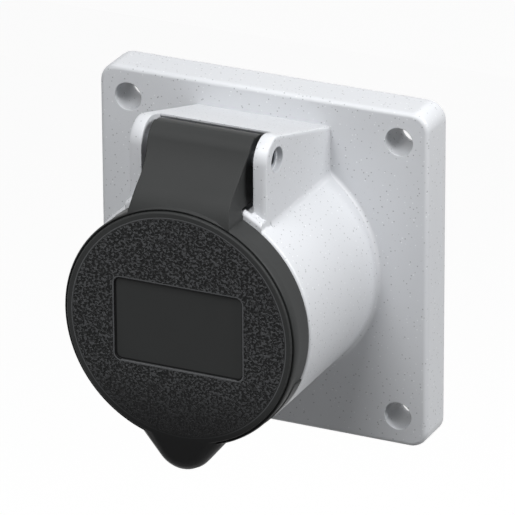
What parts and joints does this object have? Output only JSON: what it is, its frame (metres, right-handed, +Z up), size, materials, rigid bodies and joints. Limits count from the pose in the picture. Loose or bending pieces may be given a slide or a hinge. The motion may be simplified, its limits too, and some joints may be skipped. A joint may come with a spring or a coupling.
{
  "type": "panel socket",
  "caption": "Industrial panel socket with a square flange, a round sleeve and a sprung hinged lid over a recessed set of round pin contacts.",
  "frame": {"origin": "centre of the four fixing holes in the plane of the flange's back, which lies on the panel", "axes": "-Y points straight out of the panel along the sleeve, +X to the right seen from the front, +Z up towards the lid's hinge"},
  "size_m": [0.085, 0.0825, 0.087],
  "materials": {
    "housing_plastic": "satin moulded light grey",
    "lid_plastic": "black, grained on the lid's face",
    "insert_plastic": "matt moulded",
    "seal_rubber": "matt",
    "brass": "turned",
    "plated_steel": "zinc plated",
    "spring_steel": "drawn wire"
  },
  "bodies": {
    "socket": {"housing": "housing_plastic", "flange_gasket": "seal_rubber", "contact_carrier": "insert_plastic", "terminal_block": "insert_plastic", "contact_earth": "brass", "contact_l1": "brass", "contact_l2": "brass", "contact_l3": "brass", "clamp_spring_earth": "spring_steel", "clamp_spring_l1": "spring_steel", "clamp_spring_l2": "spring_steel", "clamp_spring_l3": "spring_steel", "carrier_screws": "plated_steel", "block_screw": "plated_steel", "hinge_pin": "plated_steel", "hinge_spring": "spring_steel"},
    "lid": {"lid": "lid_plastic", "lid_seal": "seal_rubber"},
    "earth_screw": {"terminal_screw_earth": "plated_steel"},
    "l1_screw": {"terminal_screw_l1": "plated_steel"},
    "l2_screw": {"terminal_screw_l2": "plated_steel"},
    "l3_screw": {"terminal_screw_l3": "plated_steel"}
  },
  "joints": [
    {"name": "lid_hinge", "type": "hinge", "parent": "socket", "child": "lid", "pos_m": [0, -0.0398, 0.0388], "axis": [-1, 0, 0], "range_deg": [0, 105], "stiffness_Nm_per_rad": 0.01, "springref_deg": -91.67, "deforming": ["hinge_spring"]},
    {"name": "earth_screw_slide", "type": "slide", "parent": "socket", "child": "earth_screw", "axis": [-0.5, 0, -0.866], "range_m": [0, 0.0025]},
    {"name": "l1_screw_slide", "type": "slide", "parent": "socket", "child": "l1_screw", "axis": [-0.866, 0, 0.5], "range_m": [0, 0.0025]},
    {"name": "l2_screw_slide", "type": "slide", "parent": "socket", "child": "l2_screw", "axis": [0.5, 0, 0.866], "range_m": [0, 0.0025]},
    {"name": "l3_screw_slide", "type": "slide", "parent": "socket", "child": "l3_screw", "axis": [0.866, 0, -0.5], "range_m": [0, 0.0025]}
  ]
}
